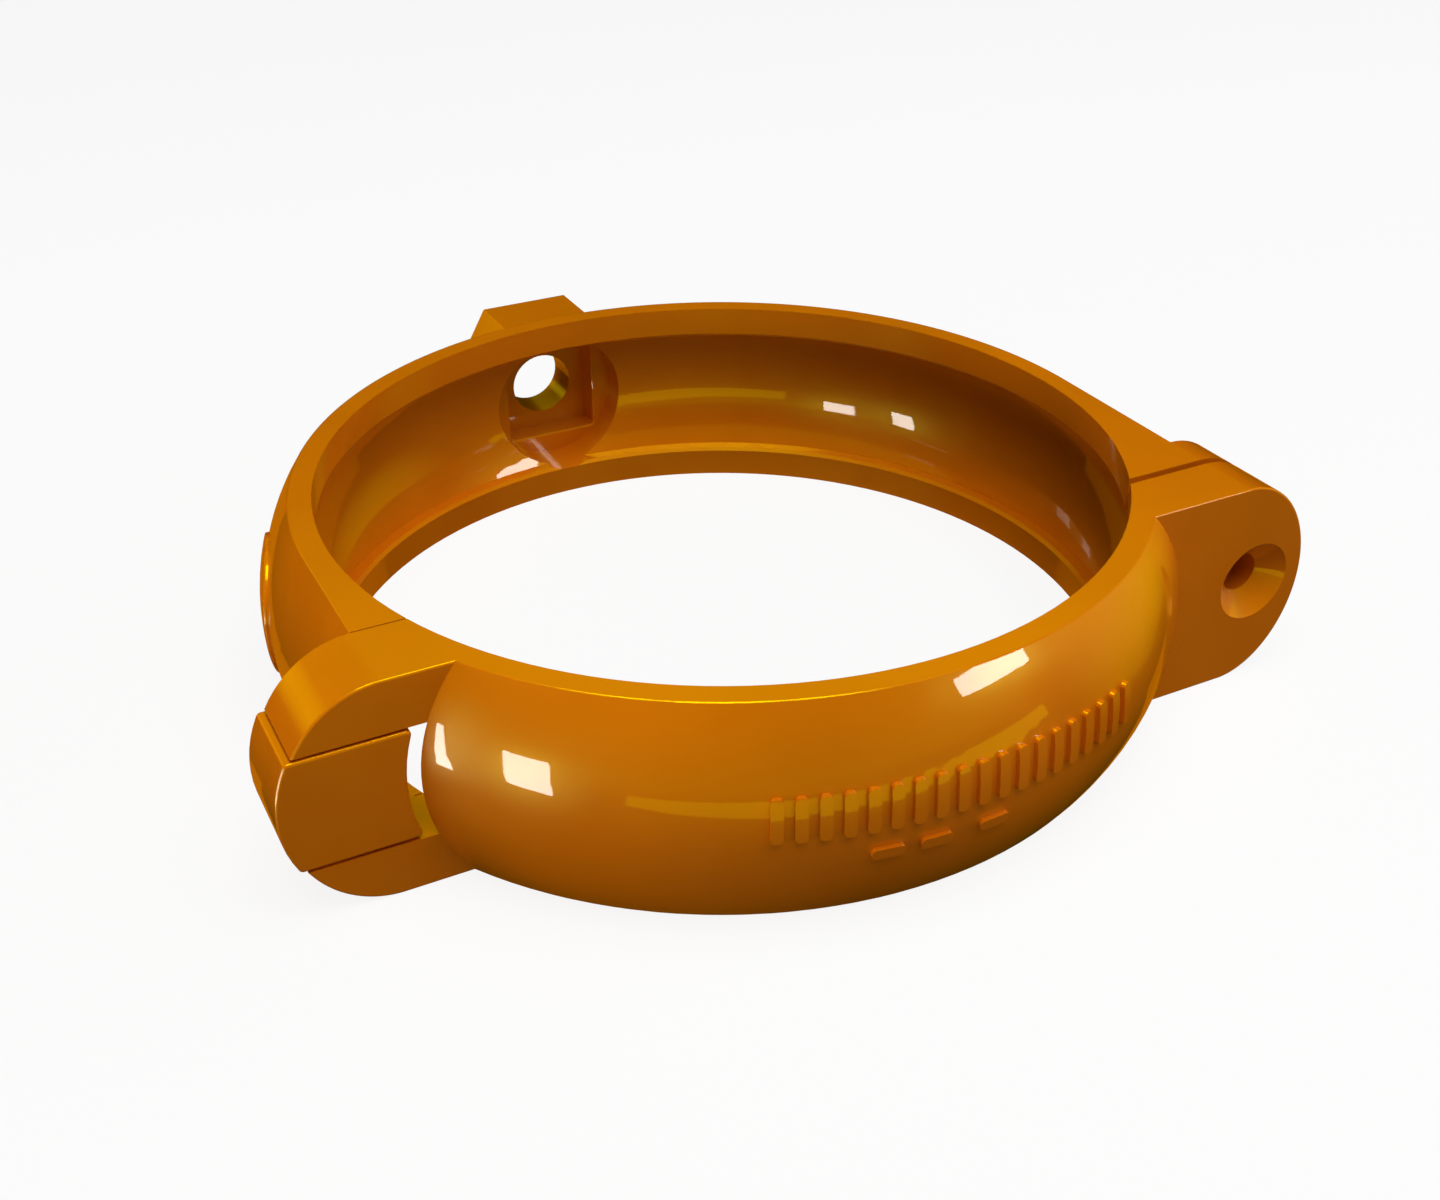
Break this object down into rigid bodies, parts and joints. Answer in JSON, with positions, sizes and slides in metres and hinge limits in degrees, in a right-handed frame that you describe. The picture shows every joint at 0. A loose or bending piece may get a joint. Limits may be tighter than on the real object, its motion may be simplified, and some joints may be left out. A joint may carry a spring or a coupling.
{
  "type": "pipe clamp",
  "caption": "Hinged two-part moulded clamp for a round downpipe, with a hexagonal wall boss, a fork hinge and a screw lug opposite.",
  "frame": {"origin": "centre of the pipe bore at mid-height of the ring", "axes": "+Z along the pipe, +Y towards the wall, +X from the hinge to the closing lugs"},
  "size_m": [0.1032, 0.099, 0.022],
  "materials": {
    "moulded_plastic": "glossy amber brown moulding",
    "pin_steel": "drawn steel"
  },
  "bodies": {
    "wall_half": {"wall_half": "moulded_plastic"},
    "front_half": {"front_half": "moulded_plastic", "hinge_pin": "pin_steel"}
  },
  "joints": [
    {"name": "hinge", "type": "hinge", "parent": "wall_half", "child": "front_half", "pos_m": [-0.0465, -0.0182, 0], "axis": [0, 0, -1], "range_deg": [0, 49]}
  ]
}
